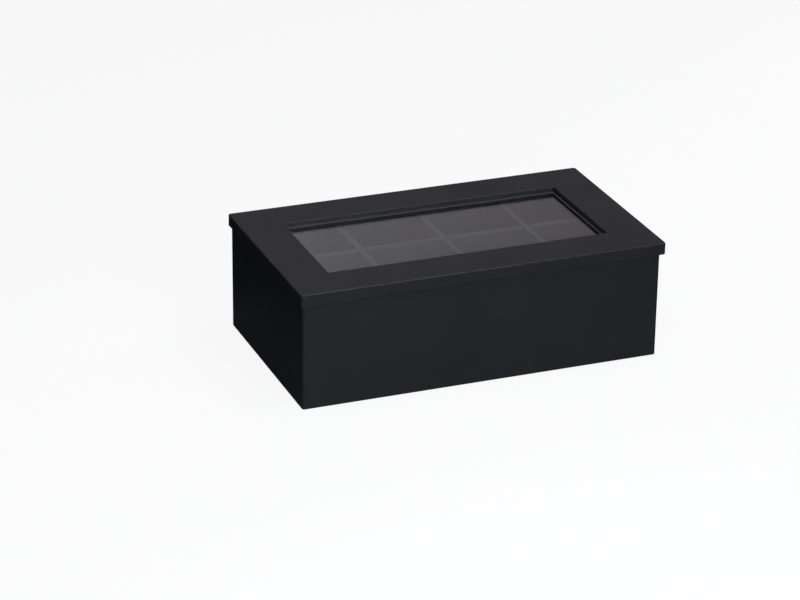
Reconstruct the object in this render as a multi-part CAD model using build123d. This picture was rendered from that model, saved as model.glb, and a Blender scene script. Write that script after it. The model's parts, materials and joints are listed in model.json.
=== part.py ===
from build123d import *
import os

# A lacquered wooden tea bag box: eight compartments under a hinged lid with a window.
# Millimetres. +X runs along the length, +Y to the hinged back, +Z up.
# The origin is the centre of the box's underside.

# ---------------------------------------------------------------- driving dimensions
LID_LENGTH = 280.0
LID_DEPTH = 160.0
TOTAL_HEIGHT = 90.0
LID_THICKNESS = 9.0
SIDE_OVERHANG = 2.5           # lid beyond the box, left and right
FRONT_OVERHANG = 4.0          # lid beyond the box in front; the back is flush

WALL = 10.0                   # front, back and sides
TONGUE = 5.0                  # what the front and back keep outside their end rebates
BOTTOM_THICKNESS = 4.0
BOTTOM_REBATE = 5.0           # how far the bottom is let into the walls
BOTTOM_CLEARANCE = 0.25

CORNER_RADIUS = 2.0           # upright corners of the box and the lid
FOOT_RADIUS = 0.8             # lower edges of the box
RIM_BEVEL = 0.5               # outer arris of the rim

DIVIDER_THICKNESS = 5.0
DIVIDER_TOP = 80.6            # just under the rim, clear of the closed lid
DIVIDER_ROUNDING = 0.8        # of the top edges
CROSS_DIVIDERS = 3
DADO_DEPTH = 3.0              # the dividers' ends stand in shallow grooves
DADO_PLAY = 0.1
LAP_PLAY = 0.1

FRAME_WIDTH = 32.0            # lid rails and stiles
LIP_THICKNESS = 4.2           # wood above the glass
GLASS_REBATE = 6.0            # ledge that the glass lies against
GLASS_THICKNESS = 2.0
GLASS_PLAY = 0.5
LID_TOP_RADIUS = 0.8
LID_UNDER_BEVEL = 0.4
OPENING_BEVEL = 0.3           # nearly sharp arris round the window
TENON_LENGTH = 10.0
TENON_THICKNESS = 3.0
TENON_WIDTH = 20.0
TENON_INSET = 4.0             # from the lid's outer edge
BEAD_RECESS = 0.2             # beads stay this far above the lid's underside
BEAD_PLAY = 0.1
BEAD_ROUNDING = 1.5
SEAL_SIZE = 0.4               # leg of the sealant fillet on the glass

HINGE_SPACING = 170.0         # between the hinges' middles
LEAF_LENGTH = 26.0
LEAF_SHEET = 1.0
LEAF_REACH = 6.0              # from the pin's axis into the rim
LEAF_CORNER = 1.0
PIN_RADIUS = 0.8
RUNNING_PLAY = 0.05           # radial, between the pin and the lid's knuckles
KNUCKLES = 3
KNUCKLE_PITCH = 6.6
KNUCKLE_GAP = 0.2
ROLL_END = 0.3                # height above the axis where the rolled sheet ends
BARREL_CLEARANCE = 0.2        # between the barrel and the wood
NOTCH_REACH = 1.9             # the sheet keeps this far from the other leaf's knuckles
STOP_REACH = 2.9              # stop tails: they meet the box's back face with the lid open
STOP_GAP = 0.4                # between the barrel's ends and the stop tails
MORTISE_PLAY = 0.1

SCREW_RADIUS = 0.8
SCREW_TIP = 1.2
SCREW_OFFSET = 8.5            # along the leaf, from its middle
SCREW_REACH = 4.0             # in front of the pin's axis
BOX_SCREW_LENGTH = 9.0
LID_SCREW_LENGTH = 6.0
RECESS_LENGTH = 2.0           # cross recess in the screw heads
RECESS_WIDTH = 0.45
RECESS_DEPTH = 0.5

# ---------------------------------------------------------------- worked out from these
BOX_LENGTH = LID_LENGTH - 2 * SIDE_OVERHANG
BOX_DEPTH = LID_DEPTH - FRONT_OVERHANG
RIM = TOTAL_HEIGHT - LID_THICKNESS
OUTER_X = BOX_LENGTH / 2
OUTER_Y = BOX_DEPTH / 2
INNER_X = OUTER_X - WALL
INNER_Y = OUTER_Y - WALL
PITCH = (2 * INNER_X + DIVIDER_THICKNESS) / (CROSS_DIVIDERS + 1)
CROSS_X = [(i - (CROSS_DIVIDERS - 1) / 2) * PITCH for i in range(CROSS_DIVIDERS)]
DADO_HALF = (DIVIDER_THICKNESS + DADO_PLAY) / 2
LAP_HALF = (DIVIDER_THICKNESS + LAP_PLAY) / 2
LAP_HEIGHT = (BOTTOM_THICKNESS + DIVIDER_TOP) / 2

LID_Y = -FRONT_OVERHANG / 2   # middle of the lid
OPENING_X = LID_LENGTH / 2 - FRAME_WIDTH
OPENING_Y = LID_DEPTH / 2 - FRAME_WIDTH
LEDGE = TOTAL_HEIGHT - LIP_THICKNESS
REBATE_X = OPENING_X + GLASS_REBATE
REBATE_Y = OPENING_Y + GLASS_REBATE

AXIS_Y = OUTER_Y              # hinge axis: in the plane of the back, level with the rim
AXIS_Z = RIM
BARREL_RADIUS = PIN_RADIUS + LEAF_SHEET
BARREL_HALF = KNUCKLES * KNUCKLE_PITCH / 2
HINGE_X = {"left": -HINGE_SPACING / 2, "right": HINGE_SPACING / 2}
BOX_KNUCKLES = range(0, KNUCKLES, 2)
LID_KNUCKLES = range(1, KNUCKLES, 2)
HEAD_DEPTH = LEAF_SHEET       # a 90 degree head that fills the sheet's thickness
SCREW_HEAD_RADIUS = SCREW_RADIUS + HEAD_DEPTH


# ---------------------------------------------------------------- helpers
def block(x, y, z):
    """A block between a low and a high bound along each axis."""
    bounds = [sorted(pair) for pair in (x, y, z)]
    centre = [(low + high) / 2 for low, high in bounds]
    size = [high - low for low, high in bounds]
    return Pos(*centre) * Box(*size)


def span(half):
    """Bounds that lie evenly about the middle."""
    return (-half, half)


def on_side(side, near, far):
    """Bounds between two distances from the middle, on one side of it (-1 or +1)."""
    return (side * near, side * far)


def about(middle, half):
    """Bounds that lie evenly about a given middle."""
    return (middle - half, middle + half)


# ---------------------------------------------------------------- the box
def box_envelope():
    """The box's outer shape, which the glued-up walls are sanded to."""
    outline = RectangleRounded(BOX_LENGTH, BOX_DEPTH, CORNER_RADIUS)
    envelope = extrude(outline, RIM)
    envelope = fillet(envelope.faces().sort_by(Axis.Z)[0].edges(), FOOT_RADIUS)
    return chamfer(envelope.faces().sort_by(Axis.Z)[-1].edges(), RIM_BEVEL)


def long_wall(side):
    """Front (-1) or back (+1): rebated ends and lower edge, and a dado for each cross divider."""
    wall = block(span(OUTER_X), on_side(side, INNER_Y, OUTER_Y), (0, RIM))
    tongue_face = OUTER_Y - TONGUE
    for end in (-1, 1):
        wall -= block(on_side(end, INNER_X, OUTER_X), on_side(side, INNER_Y, tongue_face), (0, RIM))
    wall -= block(
        span(OUTER_X),
        on_side(side, INNER_Y, INNER_Y + BOTTOM_REBATE),
        (0, BOTTOM_THICKNESS),
    )
    for x in CROSS_X:
        wall -= block(
            about(x, DADO_HALF),
            on_side(side, INNER_Y, INNER_Y + DADO_DEPTH),
            (BOTTOM_THICKNESS, RIM),
        )
    return wall & box_envelope()


def short_wall(side):
    """Left (-1) or right (+1): it stands between the front and back, with a dado in its middle."""
    wall = block(on_side(side, INNER_X, OUTER_X), span(OUTER_Y - TONGUE), (0, RIM))
    wall -= block(
        on_side(side, INNER_X, INNER_X + BOTTOM_REBATE),
        span(OUTER_Y),
        (0, BOTTOM_THICKNESS),
    )
    wall -= block(
        on_side(side, INNER_X, INNER_X + DADO_DEPTH),
        span(DADO_HALF),
        (BOTTOM_THICKNESS, RIM),
    )
    return wall & box_envelope()


def back_wall():
    """The back, with its rim let in for the hinges."""
    wall = long_wall(1)
    for x in HINGE_X.values():
        wall -= hinge_mortise(x, -1)
        wall -= screw_pair(x, -1, BOX_SCREW_LENGTH)
    return wall


def bottom_panel():
    """The bottom, let into the walls from below and flush with them."""
    half_x = INNER_X + BOTTOM_REBATE - BOTTOM_CLEARANCE
    half_y = INNER_Y + BOTTOM_REBATE - BOTTOM_CLEARANCE
    return block(span(half_x), span(half_y), (0, BOTTOM_THICKNESS))


def divider_section():
    """A divider seen on end: straight sides and a softened top edge."""
    height = DIVIDER_TOP - BOTTOM_THICKNESS
    section = Pos(0, BOTTOM_THICKNESS + height / 2) * Rectangle(DIVIDER_THICKNESS, height)
    return fillet(section.vertices().group_by(Axis.Y)[-1], DIVIDER_ROUNDING)


def long_divider():
    """Runs from side to side; its notches are open at the top."""
    half = INNER_X + DADO_DEPTH - DADO_PLAY
    divider = extrude(Plane.YZ * divider_section(), half, both=True)
    for x in CROSS_X:
        divider -= block(about(x, LAP_HALF), span(OUTER_Y), (LAP_HEIGHT, RIM))
    return divider


def cross_divider(x):
    """Runs from front to back; its notch is open at the bottom and drops over the long one."""
    half = INNER_Y + DADO_DEPTH - DADO_PLAY
    divider = extrude(Plane.XZ * divider_section(), half, both=True)
    divider -= block(span(OUTER_X), span(LAP_HALF), (0, LAP_HEIGHT))
    return Pos(x, 0, 0) * divider


# ---------------------------------------------------------------- the lid
def lid_frame():
    """The whole lid frame as it is shaped after glue-up: rounded, opened and rebated."""
    outline = RectangleRounded(LID_LENGTH, LID_DEPTH, CORNER_RADIUS)
    opening = Rectangle(2 * OPENING_X, 2 * OPENING_Y)
    frame = extrude(outline - opening, LID_THICKNESS)
    frame = fillet(frame.faces().sort_by(Axis.Z)[-1].outer_wire().edges(), LID_TOP_RADIUS)
    frame = chamfer(frame.faces().sort_by(Axis.Z)[0].outer_wire().edges(), LID_UNDER_BEVEL)
    frame = chamfer(frame.faces().sort_by(Axis.Z)[-1].inner_wires()[0].edges(), OPENING_BEVEL)
    frame -= block(span(REBATE_X), span(REBATE_Y), (0, LID_THICKNESS - LIP_THICKNESS))
    return Pos(0, LID_Y, RIM) * frame


def tenon(side, end):
    """The stub tenon on one end of the left (-1) or right (+1) stile."""
    outer = LID_LENGTH / 2 - TENON_INSET
    joint = LID_Y + end * OPENING_Y
    middle = RIM + LID_THICKNESS / 2
    return block(
        on_side(side, outer - TENON_WIDTH, outer),
        (joint, joint + end * TENON_LENGTH),
        about(middle, TENON_THICKNESS / 2),
    )


def lid_stile(side):
    """Left (-1) or right (+1) stile, between the rails and tenoned into them."""
    place = block(
        on_side(side, OPENING_X, LID_LENGTH / 2),
        about(LID_Y, OPENING_Y),
        (RIM, TOTAL_HEIGHT),
    )
    stile = lid_frame() & place
    for end in (-1, 1):
        stile += tenon(side, end)
    return stile


def lid_rail(end):
    """Front (-1) or back (+1) rail over the lid's whole length, mortised for the stiles."""
    inner = LID_Y + end * OPENING_Y
    outer = LID_Y + end * LID_DEPTH / 2
    rail = lid_frame() & block(span(LID_LENGTH / 2), (inner, outer), (RIM, TOTAL_HEIGHT))
    for side in (-1, 1):
        rail -= tenon(side, end)
    return rail


def lid_back_rail():
    """The back rail, with its underside let in for the hinges."""
    rail = lid_rail(1)
    for x in HINGE_X.values():
        rail -= hinge_mortise(x, 1)
        rail -= screw_pair(x, 1, LID_SCREW_LENGTH)
    return rail


def window_pane():
    """The glass, laid from below against the rebate's ledge."""
    return block(
        span(REBATE_X - GLASS_PLAY),
        about(LID_Y, REBATE_Y - GLASS_PLAY),
        (LEDGE - GLASS_THICKNESS, LEDGE),
    )


def pane_seal():
    """The fillet of sealant in the angle between the glass and the window's wall."""
    body = Rectangle(2 * OPENING_X, 2 * OPENING_Y)
    ring = extrude(body, SEAL_SIZE)
    foot = Rectangle(2 * (OPENING_X - SEAL_SIZE), 2 * (OPENING_Y - SEAL_SIZE))
    ring -= loft([foot, Pos(0, 0, SEAL_SIZE) * body])
    return Pos(0, LID_Y, LEDGE) * ring


def glazing_bead(name):
    """One of the four mitred beads that hold the glass up from below."""
    low = RIM + BEAD_RECESS
    high = LEDGE - GLASS_THICKNESS
    outer_x = REBATE_X - BEAD_PLAY
    outer_y = REBATE_Y - BEAD_PLAY
    outline = Rectangle(2 * outer_x, 2 * outer_y) - Rectangle(2 * OPENING_X, 2 * OPENING_Y)
    ring = extrude(outline, high - low)
    ring = fillet(ring.faces().sort_by(Axis.Z)[0].inner_wires()[0].edges(), BEAD_ROUNDING)
    corners = {
        "front": ((-1, -1), (1, -1)),
        "right": ((1, -1), (1, 1)),
        "back": ((1, 1), (-1, 1)),
        "left": ((-1, 1), (-1, -1)),
    }
    first, last = corners[name]
    points = [(sx * outer_x, sy * outer_y) for sx, sy in (first, last)]
    points += [(sx * OPENING_X, sy * OPENING_Y) for sx, sy in (last, first)]
    sector = extrude(make_face(Polyline(*points, close=True)), high - low)
    return Pos(0, LID_Y, low) * (ring & sector)


# ---------------------------------------------------------------- the hinges
def hinge_mortise(x, up):
    """The pocket for a leaf in the lid (+1) or the rim (-1), as deep as half the barrel."""
    pocket = block(
        about(x, LEAF_LENGTH / 2 + MORTISE_PLAY),
        (AXIS_Y - LEAF_REACH - MORTISE_PLAY, AXIS_Y + 1),
        (AXIS_Z, AXIS_Z + up * BARREL_RADIUS),
    )
    barrel_reach = BARREL_RADIUS + BARREL_CLEARANCE
    barrel_room = block(
        about(x, BARREL_HALF + STOP_GAP / 2),
        (AXIS_Y - barrel_reach, AXIS_Y + 1),
        (AXIS_Z, AXIS_Z + up * barrel_reach),
    )
    return pocket + barrel_room


def eye_section(bore_radius):
    """A rolled eye on end: the sheet runs over the pin and curls back under itself."""
    overlap = 2 * BARREL_RADIUS
    roll = Circle(BARREL_RADIUS)
    front_top = Pos(-overlap / 2, ROLL_END + overlap / 2) * Rectangle(overlap, overlap)
    sheet_middle = BARREL_RADIUS - LEAF_SHEET / 2
    neck = Pos(-NOTCH_REACH / 2, sheet_middle) * Rectangle(NOTCH_REACH, LEAF_SHEET)
    return roll - front_top + neck - Circle(bore_radius)


def screw(length):
    """A countersunk screw, head at the origin facing +Z, with a cross recess."""
    outline = Polyline(
        (0, 0),
        (SCREW_HEAD_RADIUS, 0),
        (SCREW_RADIUS, -HEAD_DEPTH),
        (SCREW_RADIUS, SCREW_TIP - length),
        (0, -length),
        close=True,
    )
    body = revolve(Plane.XZ * make_face(outline), Axis.Z)
    for length_x, length_y in ((RECESS_LENGTH, RECESS_WIDTH), (RECESS_WIDTH, RECESS_LENGTH)):
        body -= block(span(length_x / 2), span(length_y / 2), (-RECESS_DEPTH, 0))
    return body


def screw_room(length):
    """What a screw takes up in the leaf and the wood: its body without the recess."""
    head = Cone(SCREW_RADIUS, SCREW_HEAD_RADIUS, HEAD_DEPTH)
    shank = Cylinder(SCREW_RADIUS, length)
    return Pos(0, 0, -HEAD_DEPTH / 2) * head + Pos(0, 0, -length / 2) * shank


def screw_seats(x, up):
    """Where a leaf's two screw heads lie, facing out of the lid (+1) or the rim (-1)."""
    face = AXIS_Z + up * (BARREL_RADIUS - LEAF_SHEET)
    turn = Rot(180, 0, 0) if up > 0 else Rot(0, 0, 0)
    for offset in (-SCREW_OFFSET, SCREW_OFFSET):
        yield Pos(x + offset, AXIS_Y - SCREW_REACH, face) * turn


def screw_pair(x, up, length):
    """The holes of a leaf's two screws."""
    left, right = [seat * screw_room(length) for seat in screw_seats(x, up)]
    return left + right


def screws(up, length):
    """All four screws that hold the leaves to the lid (+1) or the rim (-1)."""
    return Compound([seat * screw(length) for x in HINGE_X.values() for seat in screw_seats(x, up)])


def leaf(x, up, knuckles, bore_radius, screw_length):
    """A hinge leaf of the lid (+1) or the box (-1), made for the lid and turned over for the box."""
    sheet = (BARREL_RADIUS - LEAF_SHEET, BARREL_RADIUS)
    plate = block(span(LEAF_LENGTH / 2), (-LEAF_REACH, -NOTCH_REACH), sheet)
    plate = fillet(plate.edges().filter_by(Axis.Z).group_by(Axis.Y)[0], LEAF_CORNER)
    eye = extrude(Plane.YZ * eye_section(bore_radius), (KNUCKLE_PITCH - KNUCKLE_GAP) / 2, both=True)
    for k in knuckles:
        plate += Pos((k - (KNUCKLES - 1) / 2) * KNUCKLE_PITCH, 0, 0) * eye
    if up > 0:
        for end in (-1, 1):
            tail = block(
                on_side(end, BARREL_HALF + STOP_GAP, LEAF_LENGTH / 2),
                (-NOTCH_REACH, STOP_REACH),
                sheet,
            )
            plate += tail
    else:
        plate = mirror(plate, Plane.XY)
    return Pos(x, AXIS_Y, AXIS_Z) * plate - screw_pair(x, up, screw_length)


def box_leaf(x):
    """The leaf in the rim: it grips the pin and has the outer knuckles."""
    return leaf(x, -1, BOX_KNUCKLES, PIN_RADIUS, BOX_SCREW_LENGTH)


def lid_leaf(x):
    """The leaf in the lid: it turns on the pin, and its tails stop the lid when it is open."""
    return leaf(x, 1, LID_KNUCKLES, PIN_RADIUS + RUNNING_PLAY, LID_SCREW_LENGTH)


def hinge_pin(x):
    """The pin, as long as the barrel."""
    return Pos(x, AXIS_Y, AXIS_Z) * Rot(0, 90, 0) * Cylinder(PIN_RADIUS, 2 * BARREL_HALF)


# ---------------------------------------------------------------- all the pieces
pieces = {
    "front_panel": long_wall(-1),
    "back_panel": back_wall(),
    "left_side": short_wall(-1),
    "right_side": short_wall(1),
    "bottom_panel": bottom_panel(),
    "long_divider": long_divider(),
    "lid_front_rail": lid_rail(-1),
    "lid_back_rail": lid_back_rail(),
    "lid_left_stile": lid_stile(-1),
    "lid_right_stile": lid_stile(1),
    "window_pane": window_pane(),
    "pane_seal": pane_seal(),
    "box_hinge_screws": screws(-1, BOX_SCREW_LENGTH),
    "lid_hinge_screws": screws(1, LID_SCREW_LENGTH),
}
for place, x in zip(("left", "middle", "right"), CROSS_X):
    pieces[f"cross_divider_{place}"] = cross_divider(x)
for place in ("front", "right", "back", "left"):
    pieces[f"glazing_bead_{place}"] = glazing_bead(place)
for place, x in HINGE_X.items():
    pieces[f"{place}_hinge_box_leaf"] = box_leaf(x)
    pieces[f"{place}_hinge_lid_leaf"] = lid_leaf(x)
    pieces[f"{place}_hinge_pin"] = hinge_pin(x)

os.makedirs("parts", exist_ok=True)
for name, piece in pieces.items():
    export_step(piece, f"parts/{name}.step")
    print(f"{name}: {piece.volume:.1f} mm3")
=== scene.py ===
# %% [markdown]
# # A black tea box with a glass window in its lid
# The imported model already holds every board, hinge and screw of the box at its real size and place.
# What is left is how it looks: the lacquer, the glass, the plated steel, and the light they stand in.
# The model is loaded first, because every later step asks it where things are.

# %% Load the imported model
import json
import math

import bmesh
import bpy
from mathutils import Matrix, Vector


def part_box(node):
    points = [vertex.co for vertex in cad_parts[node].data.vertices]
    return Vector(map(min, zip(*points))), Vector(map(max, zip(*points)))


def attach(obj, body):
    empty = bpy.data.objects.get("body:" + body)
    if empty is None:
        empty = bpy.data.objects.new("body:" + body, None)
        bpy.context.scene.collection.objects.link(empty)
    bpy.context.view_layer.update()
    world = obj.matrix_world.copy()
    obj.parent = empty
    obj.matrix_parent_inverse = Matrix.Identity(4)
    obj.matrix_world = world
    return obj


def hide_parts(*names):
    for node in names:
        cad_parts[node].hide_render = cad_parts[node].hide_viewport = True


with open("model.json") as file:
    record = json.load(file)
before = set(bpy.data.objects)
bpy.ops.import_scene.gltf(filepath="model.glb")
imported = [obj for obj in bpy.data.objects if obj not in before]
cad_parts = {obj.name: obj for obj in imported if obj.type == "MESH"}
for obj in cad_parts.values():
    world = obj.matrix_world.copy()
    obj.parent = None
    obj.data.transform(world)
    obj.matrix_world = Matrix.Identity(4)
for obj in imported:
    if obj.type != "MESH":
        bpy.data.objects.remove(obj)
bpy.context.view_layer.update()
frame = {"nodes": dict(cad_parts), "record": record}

nodes = frame["nodes"]

# %% [markdown]
# ## Colours and nodes
# A hex colour is written as the eye sees it on a screen, but Blender computes with light, which is linear.
# One function turns one into the other, so that every colour below can be read and picked by eye.
# A second one adds a node with its settings and its links in a single call. Plain values and links go in by
# the same door, which keeps each material short enough to read from top to bottom. Four kinds of node come
# back all the time: a calculation, a change of range, a mix of two colours and a noise. Each has its own short
# name, and a noise is asked for by the real distance between its patches.

# %% Colours and nodes
MM = 0.001


def linear(hex_colour):
    """Linear RGBA of an sRGB hex colour such as "1b1b1f"."""
    parts = [int(hex_colour[i:i + 2], 16) / 255 for i in (0, 2, 4)]
    return tuple(p / 12.92 if p <= 0.04045 else ((p + 0.055) / 1.055) ** 2.4 for p in parts) + (1.0,)


def add(tree, kind, inputs=None, **settings):
    """Adds a node. Settings are its properties; inputs are values, or other nodes' outputs to link."""
    node = tree.nodes.new(kind)
    for name, value in settings.items():
        setattr(node, name, value)
    for socket, value in (inputs or {}).items():
        if isinstance(value, bpy.types.NodeSocket):
            tree.links.new(value, node.inputs[socket])
        else:
            node.inputs[socket].default_value = value
    return node


def calculate(tree, operation, first, second=0.0):
    """The result of a Math node."""
    return add(tree, "ShaderNodeMath", {0: first, 1: second}, operation=operation).outputs["Value"]


def remap(tree, value, start, end, low=0.0, high=1.0, **settings):
    """A value taken from the range start to end into the range low to high, and held within it."""
    return add(tree, "ShaderNodeMapRange", {"Value": value, "From Min": start, "From Max": end,
                                            "To Min": low, "To Max": high}, **settings).outputs["Result"]


def mix_colours(tree, factor, first, second, **settings):
    """The first colour where the factor is 0, the second where it is 1."""
    return add(tree, "ShaderNodeMix", {"Factor": factor, "A": first, "B": second},
               data_type="RGBA", **settings).outputs["Result"]


def noise(tree, place, spacing, detail=2.0, **more):
    """A noise whose patches lie about `spacing` metres apart. Most of its values are between 0.3 and 0.7."""
    return add(tree, "ShaderNodeTexNoise", {"Vector": place, "Scale": 1 / spacing, "Detail": detail,
                                            **more}).outputs["Fac"]


def new_material(name):
    """A material with an empty tree, and the place on the object, in metres, that its patterns read."""
    material = bpy.data.materials.new(name)
    material.use_nodes = True
    tree = material.node_tree
    tree.nodes.clear()
    return material, tree, add(tree, "ShaderNodeTexCoord").outputs["Object"]


def put_on(tree, shader):
    """Makes a shader the material's surface."""
    add(tree, "ShaderNodeOutputMaterial", {"Surface": shader})


print("a black of 1b1b1f in linear light:", [round(c, 4) for c in linear("1b1b1f")[:3]])

# %% [markdown]
# ## The camera
# The box is seen from its front left corner and from well above. The place, the aim and the lens come from
# fitting a camera to the straight edges of the box, whose three sizes are known, so they are written as they
# were found. The lens is long, which keeps the far edges nearly as long as the near ones.

# %% Camera
CAMERA_PLACE = Vector((-0.7718, -1.8628, 0.9202))
CAMERA_AIM = Vector((-0.0405, -0.0169, 0.0450))
CAMERA_ROLL = math.radians(0.71)
LENS, SENSOR = 134.5, 36.0       # millimetres
NEAREST = 0.05                   # metres from the camera that it starts to see at

camera = bpy.data.objects.new("camera", bpy.data.cameras.new("camera"))
bpy.context.scene.collection.objects.link(camera)
look = (CAMERA_AIM - CAMERA_PLACE).to_track_quat("-Z", "Y").to_matrix().to_4x4()
camera.matrix_world = Matrix.Translation(CAMERA_PLACE) @ look @ Matrix.Rotation(CAMERA_ROLL, 4, "Z")
camera.data.sensor_width = SENSOR
camera.data.lens = LENS
camera.data.clip_start = NEAREST
bpy.context.scene.camera = camera
print("camera distance in m:", round((CAMERA_AIM - CAMERA_PLACE).length, 3))

# %% [markdown]
# ## Where an arris is
# On a lacquered board the sharp edges, the arrises, look different from the faces: sprayed lacquer draws back
# from them, and hands and cloths rub them first. A material has to know how far a point is from the nearest
# arris. The Bevel node could tell, but it also answers at the glued joints between two boards, where the real
# box shows nothing, because it was lacquered after glueing. The box and the lid are plain blocks, though, so
# the distance can be worked out. A point on the surface lies on one pair of the block's faces, so its three
# distances to the pairs of faces are nought, the distance to the nearest arris, and something longer. The
# middle one of the three is the answer. The window's rim adds a second block, which is a hole.

# %% Distance to the nearest arris
def arris_distance(tree, place, low, high, hole=None):
    """Distance of a surface point from the nearest arris of a block, and of a hole through its top."""
    axes = add(tree, "ShaderNodeSeparateXYZ", {"Vector": place}).outputs

    def past_side(i, start, end):
        """How far a point lies beyond the nearer of two opposite sides; less than nought between them."""
        reach = calculate(tree, "ABSOLUTE", calculate(tree, "SUBTRACT", axes[i], (start + end) / 2))
        return calculate(tree, "SUBTRACT", reach, (end - start) / 2)

    gaps = [calculate(tree, "ABSOLUTE", past_side(i, low[i], high[i])) for i in range(3)]
    smaller = calculate(tree, "MINIMUM", gaps[0], gaps[1])
    larger = calculate(tree, "MAXIMUM", gaps[0], gaps[1])
    distance = calculate(tree, "MAXIMUM", smaller, calculate(tree, "MINIMUM", larger, gaps[2]))
    if hole:
        hole_low, hole_high = hole
        beyond = [past_side(i, hole_low[i], hole_high[i]) for i in range(2)]
        beside = calculate(tree, "ABSOLUTE", calculate(tree, "MAXIMUM", beyond[0], beyond[1]))
        below = calculate(tree, "ABSOLUTE", calculate(tree, "SUBTRACT", axes[2], high[2]))
        distance = calculate(tree, "MINIMUM", distance, calculate(tree, "MAXIMUM", beside, below))
    return distance


def block_of(names):
    """The lowest and highest corner of a group of nodes."""
    corners = [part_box(name) for name in names]
    low = Vector([min(corner[0][i] for corner in corners) for i in range(3)])
    high = Vector([max(corner[1][i] for corner in corners) for i in range(3)])
    return low, high


box_block = block_of(["front_panel", "back_panel", "left_side", "right_side"])
lid_block = block_of(["lid_front_rail", "lid_back_rail", "lid_left_stile", "lid_right_stile"])
window_low = Vector((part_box("lid_left_stile")[1][0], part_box("lid_front_rail")[1][1], 0))
window_high = Vector((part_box("lid_right_stile")[0][0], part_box("lid_back_rail")[0][1], 0))
window_middle = (window_low + window_high) / 2
window_half = (window_high - window_low) / 2
print("window in mm:", [round(v * 2000, 1) for v in window_half[:2]])

# %% [markdown]
# ## Black satin lacquer
# The boards are sprayed with black satin lacquer: matting powder in it breaks up reflections, so a face
# gathers soft light from a wide part of the room and shows no images. Four things keep it from looking like
# plastic. The spray sets in a faint orange peel, a few millimetres from bump to bump. The matting is a little
# uneven, in clouds as wide as a pass of the spray gun. A trace of the wood's fibres shows through, long and
# thin, along each board. And the arrises are rubbed: a touch greyer, where the lacquer is thin, and smoother.
# The peel and the fibres are bumps, because they bend the light; the clouds are roughness; the rubbed arrises
# are colour and roughness both, broken up by a noise, because no hand rubs evenly.

# %% Lacquer
OUTER_BLACK = "15171c"
RUBBED_GREY = "323132"
OUTER_ROUGHNESS = 0.50
RUBBED_ROUGHNESS = 0.42
LACQUER_IOR = 1.42
PEEL_SPACING = 2.5 * MM          # from bump to bump of the orange peel
PEEL_HEIGHT = 0.015 * MM
CLOUD_SPACING = 60 * MM
CLOUD_ROUGHNESS = 0.03
FIBRE_WIDTH = 0.6 * MM
FIBRE_LENGTH = 14 * MM
FIBRE_HEIGHT = 0.004 * MM
RUB_WIDTH = 0.9 * MM             # how far the rubbing reaches in from an arris
RUB_LEAST, RUB_MOST = 0.3, 1.3   # shares of that width, from patch to patch
RUB_STRENGTH = 0.75
RUB_SPACING = 9 * MM
X_AXIS, Y_AXIS = 0, 1


def lacquer(name, colour, roughness, grain_axis, block, hole=None):
    """Satin lacquer on boards that run along grain_axis, rubbed at the arrises of the block they make up."""
    material, tree, place = new_material(name)

    clouds = noise(tree, place, CLOUD_SPACING, detail=3.0)
    matt = remap(tree, clouds, 0.3, 0.7, roughness - CLOUD_ROUGHNESS, roughness + CLOUD_ROUGHNESS)

    distance = arris_distance(tree, place, *block, hole)
    patches = noise(tree, place, RUB_SPACING, detail=4.0)
    reach = remap(tree, patches, 0.35, 0.65, RUB_WIDTH * RUB_LEAST, RUB_WIDTH * RUB_MOST)
    rubbed = remap(tree, distance, 0.0, reach, RUB_STRENGTH, 0.0, interpolation_type="SMOOTHSTEP")
    base = mix_colours(tree, rubbed, linear(colour), linear(RUBBED_GREY))
    gloss = add(tree, "ShaderNodeMix", {"Factor": rubbed, "A": matt, "B": RUBBED_ROUGHNESS})

    peel = noise(tree, place, PEEL_SPACING, Roughness=0.45)
    stretch = [1 / FIBRE_WIDTH] * 3
    stretch[grain_axis] = 1 / FIBRE_LENGTH
    along = add(tree, "ShaderNodeMapping", {"Vector": place, "Scale": stretch}).outputs["Vector"]
    fibres = noise(tree, along, 1.0)
    skin = add(tree, "ShaderNodeBump", {"Height": peel, "Distance": PEEL_HEIGHT})
    grain = add(tree, "ShaderNodeBump", {"Height": fibres, "Distance": FIBRE_HEIGHT,
                                         "Normal": skin.outputs["Normal"]})

    surface = add(tree, "ShaderNodeBsdfPrincipled", {
        "Base Color": base, "Roughness": gloss.outputs["Result"],
        "Normal": grain.outputs["Normal"], "IOR": LACQUER_IOR})
    put_on(tree, surface.outputs["BSDF"])
    return material


window_hole = (window_low, window_high)
box_lacquer_x = lacquer("satin_lacquer_box_long", OUTER_BLACK, OUTER_ROUGHNESS, X_AXIS, box_block)
box_lacquer_y = lacquer("satin_lacquer_box_short", OUTER_BLACK, OUTER_ROUGHNESS, Y_AXIS, box_block)
lid_lacquer_x = lacquer("satin_lacquer_lid_long", OUTER_BLACK, OUTER_ROUGHNESS, X_AXIS, lid_block, window_hole)
lid_lacquer_y = lacquer("satin_lacquer_lid_short", OUTER_BLACK, OUTER_ROUGHNESS, Y_AXIS, lid_block, window_hole)
print("lacquers:", [m.name for m in (box_lacquer_x, box_lacquer_y, lid_lacquer_x, lid_lacquer_y)])

# %% [markdown]
# ## The same lacquer inside
# The dividers, the bottom and the beads under the glass get one coat of the same black and are not sanded back
# after it, so it is a little rougher. That still leaves a gloss: the dividers' tops lie level and mirror the
# bright room behind the box, so they show up pale through the window, and they fade where the lid's frame
# stands between them and that light. A grey paint would look pale all over, and wouldn't fade.

# %% Inside lacquer
INSIDE_BLACK = "1a1b20"
INSIDE_ROUGHNESS = 0.54
divider_block = block_of(["long_divider", "cross_divider_left", "cross_divider_middle", "cross_divider_right"])
inside_x = lacquer("satin_lacquer_inside_long", INSIDE_BLACK, INSIDE_ROUGHNESS, X_AXIS, divider_block)
inside_y = lacquer("satin_lacquer_inside_short", INSIDE_BLACK, INSIDE_ROUGHNESS, Y_AXIS, divider_block)
print("inside:", inside_x.name, inside_y.name)

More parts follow.
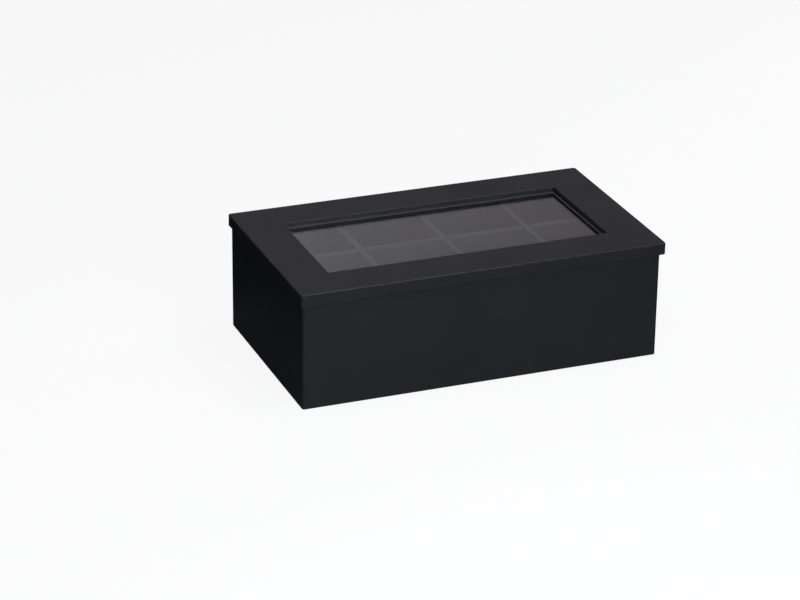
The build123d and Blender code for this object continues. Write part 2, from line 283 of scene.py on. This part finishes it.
# %% [markdown]
# ## Clear window glass
# The pane is 2 mm float glass: flat, smooth and almost free of colour. At the low angle of the camera it
# mirrors about a quarter of the light behind it, which is why it looks grey and paler than the lacquer.
# Glass that is wiped and not polished keeps a trace of haze, in patches as wide as a cloth's folds, so the
# roughness wanders a little above nought. Lamps can't find their way through bending glass on their own, so
# for their rays alone the pane counts as clear film.

# %% Glass
GLASS_TINT = "f2f7f5"
FILM_TINT = "eef2f1"
GLASS_IOR = 1.5
HAZE_SPACING = 22 * MM
HAZE_ROUGHNESS = 0.012

window_glass, tree, place = new_material("clear_float_glass")
wipes = noise(tree, place, HAZE_SPACING, detail=4.0, Distortion=0.6)
haze = remap(tree, wipes, 0.35, 0.75, 0.0, HAZE_ROUGHNESS)
pane = add(tree, "ShaderNodeBsdfPrincipled", {
    "Base Color": linear(GLASS_TINT), "Roughness": haze, "IOR": GLASS_IOR, "Transmission Weight": 1.0})
film = add(tree, "ShaderNodeBsdfTransparent", {"Color": linear(FILM_TINT)})
rays = add(tree, "ShaderNodeLightPath")
lets_lamps_through = add(tree, "ShaderNodeMixShader", {
    0: rays.outputs["Is Shadow Ray"], 1: pane.outputs["BSDF"], 2: film.outputs["BSDF"]})
put_on(tree, lets_lamps_through.outputs["Shader"])
print("glass:", window_glass.name, "IOR", GLASS_IOR)

# %% [markdown]
# ## Clear sealant
# A line of clear silicone runs round the pane in the angle with the lid, drawn along with a fingertip. Clear
# silicone on black wood looks black. Its colour turns pale over the last half millimetre before the line ends on
# the glass, a painted highlight that stands in for the light caught where the sealant thins out onto the glass.
# For that, the material works out how far a point is from the nearest side of the window. The silicone ripples a
# little along its length, which breaks the line up.

# %% Sealant
SEALANT_BLACK = "161618"
# The pale colour at the sealant's thin edge is a painted highlight, not a colour the silicone has.
SEALANT_PAINTED_HIGHLIGHT = "5e5e62"
HIGHLIGHT_START, HIGHLIGHT_END = 0.55 * MM, 1.0 * MM       # distances from the wood over which it turns pale
SEALANT_IOR = 1.41
SEALANT_ROUGHNESS = 0.42
SMEAR_ROUGHNESS = 0.08           # the roughness gained and lost along the line
RIPPLE_SPACING = 3 * MM
RIPPLE_HEIGHT = 0.03 * MM

sealant, tree, place = new_material("clear_silicone_sealant")
ripples = noise(tree, place, RIPPLE_SPACING)
smear = remap(tree, ripples, 0.3, 0.7,
              SEALANT_ROUGHNESS - SMEAR_ROUGHNESS, SEALANT_ROUGHNESS + SMEAR_ROUGHNESS)
drawn = add(tree, "ShaderNodeBump", {"Height": ripples, "Distance": RIPPLE_HEIGHT})
axes = add(tree, "ShaderNodeSeparateXYZ", {"Vector": place}).outputs
from_wood = []
for i in range(2):
    from_middle = calculate(tree, "ABSOLUTE", calculate(tree, "SUBTRACT", axes[i], window_middle[i]))
    from_wood.append(calculate(tree, "SUBTRACT", window_half[i], from_middle))
# Painted highlight: the sealant turns pale over its last half millimetre on the glass.
painted_highlight = remap(tree, calculate(tree, "MINIMUM", *from_wood), HIGHLIGHT_START, HIGHLIGHT_END,
             interpolation_type="SMOOTHSTEP")
fillet = add(tree, "ShaderNodeBsdfPrincipled", {
    "Base Color": mix_colours(tree, painted_highlight, linear(SEALANT_BLACK), linear(SEALANT_PAINTED_HIGHLIGHT)),
    "Roughness": smear, "Normal": drawn.outputs["Normal"], "IOR": SEALANT_IOR})
put_on(tree, fillet.outputs["BSDF"])
print("sealant:", sealant.name)

# %% [markdown]
# ## The sealant's shape
# The fingertip leaves the line hollow: steep where it climbs the wood, and nearly level where it thins out on
# the glass. So its steep part stays as dark as the wood, and its level part, which catches light and also
# carries the sealant's painted highlight, shows as a fine pale line, a millimetre inside the wood. The imported
# model has a
# plain straight fillet of sealant here, and this hollow one takes its place. It is made as the finger draws it:
# one loop of edges on the wood, extruded step by step down to the glass, then back under itself and joined up.
# Cutting the hollow out of a square strip would do too, but the corners of the window would then have to be
# mitred by hand. An extrusion makes its faces in no fixed order, so they are numbered anew at the end, and each
# run gives the same mesh.

# %% Sealant's shape
SEAL_FOOT = 1.3 * MM             # how far the sealant reaches onto the glass
SEAL_RISE = 0.9 * MM             # how far it climbs the wood
SEAL_STEPS = 10                  # facets across the hollow
SEAL_LIFT = 0.02 * MM            # keeps it clear of the glass and the wood
SHARP_FROM = 30                  # degrees between two faces from which their edge stays sharp
NUMBERED_ALONG = Vector((1.0, 0.3, 0.1))         # a slanting direction, in which no two faces are level

glass_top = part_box("window_pane")[1][2]


def put_loop(corners, inward, rise):
    """Moves a loop of four corners to a distance from the wood and a height over the glass."""
    for corner in corners:
        for i in range(2):
            side = math.copysign(1.0, corner.co[i] - window_middle[i])
            corner.co[i] = window_middle[i] + side * (window_half[i] - SEAL_LIFT - inward)
        corner.co[2] = glass_top + SEAL_LIFT + rise


line = bmesh.new()
bmesh.ops.create_grid(line, x_segments=1, y_segments=1, size=window_half[1])
bmesh.ops.translate(line, vec=window_middle, verts=line.verts)
bmesh.ops.delete(line, geom=line.faces[:], context="FACES_ONLY")
put_loop(line.verts, 0.0, SEAL_RISE)
first = line.edges[:]
last = first
turns = [math.pi / 2 * (step + 1) / SEAL_STEPS for step in range(SEAL_STEPS)]      # a quarter of a circle
path = [(SEAL_FOOT * (1 - math.cos(turn)), SEAL_RISE * (1 - math.sin(turn))) for turn in turns]
for inward, rise in path + [(0.0, 0.0)]:
    grown = bmesh.ops.extrude_edge_only(line, edges=last)["geom"]
    put_loop([item for item in grown if isinstance(item, bmesh.types.BMVert)], inward, rise)
    last = [edge for edge in grown if isinstance(edge, bmesh.types.BMEdge)
            and all(vert in grown for vert in edge.verts)]
bmesh.ops.bridge_loops(line, edges=first + last)
bmesh.ops.recalc_face_normals(line, faces=line.faces)
line.faces.sort(key=lambda face: face.calc_center_median().dot(NUMBERED_ALONG))
for face in line.faces:
    face.smooth = True
seal_mesh = bpy.data.meshes.new("drawn_sealant")
line.to_mesh(seal_mesh)
line.free()
seal_mesh.set_sharp_from_angle(angle=math.radians(SHARP_FROM))
seal_mesh.materials.append(sealant)
seal = bpy.data.objects.new("drawn_sealant", seal_mesh)
bpy.context.scene.collection.objects.link(seal)
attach(seal, "lid")
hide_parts("pane_seal")
print("sealant in mm:", SEAL_FOOT / MM, "x", SEAL_RISE / MM, "faces:", len(seal_mesh.polygons))

# %% [markdown]
# ## Nickel-plated steel
# The hinges are stamped and rolled from sheet steel and barrel plated with nickel, tumbling against each other
# in the bath. That leaves a warm, slightly yellow white, fine rolling lines along the sheet, and small random
# dulled spots from the tumbling. The rolling lines are a noise stretched along the hinge. They are drawn
# 0.12 mm apart, about twice as coarse as real ones, or no render of this size would show them.

# %% Hinge steel
NICKEL = "d3cfc7"
NICKEL_SPOTS = "c4bfb5"
LINE_SPACING = 0.12 * MM
LINE_LENGTH = 6 * MM
LINE_HEIGHT = 0.004 * MM
SPOT_SPACING = 1.2 * MM
NICKEL_ROUGHNESS = 0.28
SMOOTHER, ROUGHER = 0.04, 0.05   # the roughness it loses where bright, and gains in the spots


def nickel_plate(name, line_axis):
    """Barrel-plated nickel with its rolling lines along line_axis, or in all directions for None."""
    material, tree, place = new_material(name)
    dulled = remap(tree, noise(tree, place, SPOT_SPACING, detail=4.0), 0.4, 0.7)
    gloss = remap(tree, dulled, 0.0, 1.0, NICKEL_ROUGHNESS - SMOOTHER, NICKEL_ROUGHNESS + ROUGHER)
    stretch = [1 / LINE_SPACING] * 3
    if line_axis is not None:
        stretch[line_axis] = 1 / LINE_LENGTH
    along = add(tree, "ShaderNodeMapping", {"Vector": place, "Scale": stretch}).outputs["Vector"]
    rolled = add(tree, "ShaderNodeBump", {"Height": noise(tree, along, 1.0), "Distance": LINE_HEIGHT})
    plate = add(tree, "ShaderNodeBsdfPrincipled", {
        "Base Color": mix_colours(tree, dulled, linear(NICKEL), linear(NICKEL_SPOTS)), "Metallic": 1.0,
        "Roughness": gloss, "Normal": rolled.outputs["Normal"]})
    put_on(tree, plate.outputs["BSDF"])
    return material


sheet_steel = nickel_plate("nickel_plated_sheet_steel", X_AXIS)
screw_steel = nickel_plate("nickel_plated_screw_steel", None)
print("plated steel:", sheet_steel.name, screw_steel.name)

# %% [markdown]
# ## Dressing the pieces
# The record names a material slot for every node, and that decides the finish. Which way the grain runs
# depends on the board: boards from left to right and from front to back each have their own lacquer, and so
# have the box and the lid, whose arrises are in other places. Apart from the sealant, the shapes are right as
# they come from the model, so every other node keeps its own mesh.

# %% Assign the materials
ALONG_Y = ("left_side", "right_side", "lid_left_stile", "lid_right_stile", "cross_divider_left",
           "cross_divider_middle", "cross_divider_right", "glazing_bead_left", "glazing_bead_right")
OTHER_FINISHES = {"hinge_steel": sheet_steel, "screw_steel": screw_steel, "window_glass": window_glass,
                  "clear_sealant": sealant}


def finish_of(name, slot):
    """The material of a node, by its slot, its body and the direction of its grain."""
    if slot == "black_lacquer" and name.startswith("lid_"):
        return lid_lacquer_y if name in ALONG_Y else lid_lacquer_x
    if slot == "black_lacquer":
        return box_lacquer_y if name in ALONG_Y else box_lacquer_x
    if slot == "inside_lacquer":
        return inside_y if name in ALONG_Y else inside_x
    return OTHER_FINISHES[slot]


for part in frame["record"]["subparts"]:
    mesh = nodes[part["node"]].data
    mesh.materials.clear()
    mesh.materials.append(finish_of(part["node"], part["material_slot"]))

# %% [markdown]
# ## Floor
# The box stands on a plain sheet of white paper, much larger than anything the camera sees. Lit paper is never
# quite white, so for the camera, and for rays that come through the glass, most of its colour is a white that
# needs no lamp, and the rest is real paper that keeps the box's shadow. The front and the left side of the box
# are nearly black although they look down at the floor, and a little lighter near their feet. That shade is
# painted into the floor's reflection: rays from a gloss see the paper in a painted grey beside the box and
# nearly black further out, in front and on the left. Behind the box and on its right they see it in a lighter
# painted grey, and so do the hinges.

# %% Floor
FLOOR_SIDE = 12.0
FLOOR_GAP = 0.2 * MM             # keeps the box's underside clear of the floor
PAPER = "f0f0f0"
# Painted shade and painted reflection: the floor's colours in gloss, darker than its lit paper.
NEAR_PAINTED_REFLECTION = "545458"
FAR_PAINTED_REFLECTION = "0c0c0e"
GLOSS_FADE = 0.08                # metres from the box's foot to where the near grey has gone
LIGHT_PAINTED_REFLECTION = "b4b4b8"
LIGHT_FADE = 0.10                # metres over which the light side turns dark
WHITE_SHARE = 0.88               # the share of the plain white in what the camera sees

sheet = bmesh.new()
bmesh.ops.create_grid(sheet, x_segments=1, y_segments=1, size=FLOOR_SIDE / 2)
bmesh.ops.translate(sheet, vec=(0, 0, -FLOOR_GAP), verts=sheet.verts)
floor_mesh = bpy.data.meshes.new("floor")
sheet.to_mesh(floor_mesh)
sheet.free()
floor = bpy.data.objects.new("floor", floor_mesh)
bpy.context.scene.collection.objects.link(floor)

paper, tree, place = new_material("white_paper_floor")
rays = add(tree, "ShaderNodeLightPath").outputs
axes = add(tree, "ShaderNodeSeparateXYZ", {"Vector": place}).outputs
beyond = [calculate(tree, "SUBTRACT", calculate(tree, "ABSOLUTE", axes[i]), box_block[1][i])
          for i in range(2)]
fade = remap(tree, calculate(tree, "MAXIMUM", *beyond), 0.0, GLOSS_FADE, interpolation_type="SMOOTHSTEP")
# Painted shade seen only in gloss: grey beside the box, nearly black further out.
painted_shade_in_gloss = mix_colours(tree, fade, linear(NEAR_PAINTED_REFLECTION), linear(FAR_PAINTED_REFLECTION))
ahead = [calculate(tree, "SUBTRACT", box_block[0][i], axes[i]) for i in range(2)]
lightness = remap(tree, calculate(tree, "MAXIMUM", *ahead), -LIGHT_FADE, 0.0, 1.0, 0.0)
floor_painted_reflection = mix_colours(tree, lightness, painted_shade_in_gloss, linear(LIGHT_PAINTED_REFLECTION))
# Glossy rays see the painted reflection; all other rays see the lit paper.
tone = mix_colours(tree, rays["Is Glossy Ray"], linear(PAPER), floor_painted_reflection)
matt_paper = add(tree, "ShaderNodeBsdfDiffuse", {"Color": tone})
white = add(tree, "ShaderNodeEmission", {"Color": (1, 1, 1, 1), "Strength": 1.0})
seen = calculate(tree, "MAXIMUM", rays["Is Camera Ray"], rays["Is Transmission Ray"])
mixed = add(tree, "ShaderNodeMixShader", {0: calculate(tree, "MULTIPLY", seen, WHITE_SHARE),
                                          1: matt_paper.outputs["BSDF"], 2: white.outputs["Emission"]})
put_on(tree, mixed.outputs["Shader"])
floor_mesh.materials.append(paper)
print("floor in m:", FLOOR_SIDE)

# %% [markdown]
# ## The room
# The lid and its glass mirror the room behind the box, so the room is what makes them look right. It is a
# white sweep that darkens upwards to the ceiling. The camera sees the plain sweep, and so do rays through the
# glass. Glossy rays see it brightest a little right of straight behind the box and dimmer to both sides, as one
# lamp lights a backdrop. Light that only brightens matt surfaces comes from an even, much dimmer grey, because
# the lamps do that work.

# %% World
# The sweep's colour by how far a direction points up, and its brightness in a gloss by how far it points right.
SWEEP = ((0.00, "f4f4f6"), (0.10, "d8d8dd"), (0.40, "a4a1a9"), (0.58, "505056"), (1.00, "2e2e32"))
SIDEWAYS = ((-0.60, (0.20, 0.20, 0.20)), (-0.20, (0.35, 0.35, 0.35)), (0.24, (1.35, 1.35, 1.37)),
            (0.43, (0.67, 0.62, 0.65)), (0.80, (0.36, 0.34, 0.36)))
AMBIENT = "e6e8ee"
AMBIENT_STRENGTH = 0.35

world = bpy.data.worlds.new("studio")
world.use_nodes = True
world.node_tree.nodes.clear()
bpy.context.scene.world = world
tree = world.node_tree


def ramp(fac, stops):
    """A colour ramp with the given stops, each a place from 0 to 1 and a colour."""
    node = add(tree, "ShaderNodeValToRGB", {"Fac": fac})
    elements = node.color_ramp.elements
    while len(elements) < len(stops):
        elements.new(0.5)
    for element, (place, colour) in zip(elements, stops):
        element.position = place
        element.color = colour
    return node.outputs["Color"]


rays = add(tree, "ShaderNodeLightPath").outputs
direction = add(tree, "ShaderNodeTexCoord").outputs["Generated"]
axes = add(tree, "ShaderNodeSeparateXYZ", {"Vector": direction}).outputs
sweep = ramp(axes["Z"], [(height, linear(colour)) for height, colour in SWEEP])
sides = ramp(remap(tree, axes["X"], -1.0, 1.0), [((x + 1) / 2, (*tint, 1)) for x, tint in SIDEWAYS])
dimmed = mix_colours(tree, rays["Is Glossy Ray"], sweep, sides, blend_type="MULTIPLY")
backdrop = add(tree, "ShaderNodeBackground", {"Color": dimmed, "Strength": 1.0})
ambient = add(tree, "ShaderNodeBackground", {"Color": linear(AMBIENT), "Strength": AMBIENT_STRENGTH})
shown = calculate(tree, "MAXIMUM", rays["Is Camera Ray"], rays["Is Glossy Ray"])
shown = calculate(tree, "MAXIMUM", shown, rays["Is Transmission Ray"])
either = add(tree, "ShaderNodeMixShader", {0: shown, 1: ambient.outputs["Background"],
                                           2: backdrop.outputs["Background"]})
add(tree, "ShaderNodeOutputWorld", {"Surface": either.outputs["Shader"]})
print("sweep stops:", len(SWEEP))

# %% [markdown]
# ## Lamps
# Four square softboxes give a plain, soft light. One hangs overhead and makes the lid the lightest face, one
# stands at the front left, a low one in front lifts the front panel, and a weak low one does the same for the
# right side. With the even light of the room they bring a white card on the lid to just under white, so that
# each colour comes out about as it is written. A lamp is given by the direction in which it stands and by its
# own brightness, from which its watts follow: an area lamp of brightness one sends out pi watts for each square
# metre. The camera doesn't see the boxes themselves, only their light.

# %% Lamps
LAMP_AIM = Vector((0, 0, 0.06))
LAMP_DISTANCE = 1.15
LAMP_SIDE = 0.50


def softbox(name, turn, height, brightness, colour="ffffff"):
    """A square lamp, turned clockwise from straight behind the box and raised, both in degrees."""
    turn, height = math.radians(turn), math.radians(height)
    direction = Vector((math.sin(turn) * math.cos(height), math.cos(turn) * math.cos(height), math.sin(height)))
    lamp = bpy.data.lights.new(name, "AREA")
    lamp.shape = "SQUARE"
    lamp.size = LAMP_SIDE
    lamp.energy = brightness * math.pi * LAMP_SIDE ** 2
    lamp.color = linear(colour)[:3]
    placed = bpy.data.objects.new(name, lamp)
    placed.visible_camera = False
    bpy.context.scene.collection.objects.link(placed)
    placed.location = LAMP_AIM + direction * LAMP_DISTANCE
    placed.rotation_euler = (-direction).to_track_quat("-Z", "Y").to_euler()
    print(name, "watts:", round(lamp.energy, 1))


softbox("overhead", turn=120, height=76, brightness=4.0)
softbox("front_left", turn=210, height=55, brightness=3.1)
softbox("low_front", turn=184, height=18, brightness=9.4, colour="f6fdff")
softbox("low_right", turn=75, height=13, brightness=3.5)

# %% [markdown]
# ## Colours as written
# The Standard view shows colours as they are computed, with no film curve over them.

# %% View
bpy.context.scene.view_settings.view_transform = "Standard"
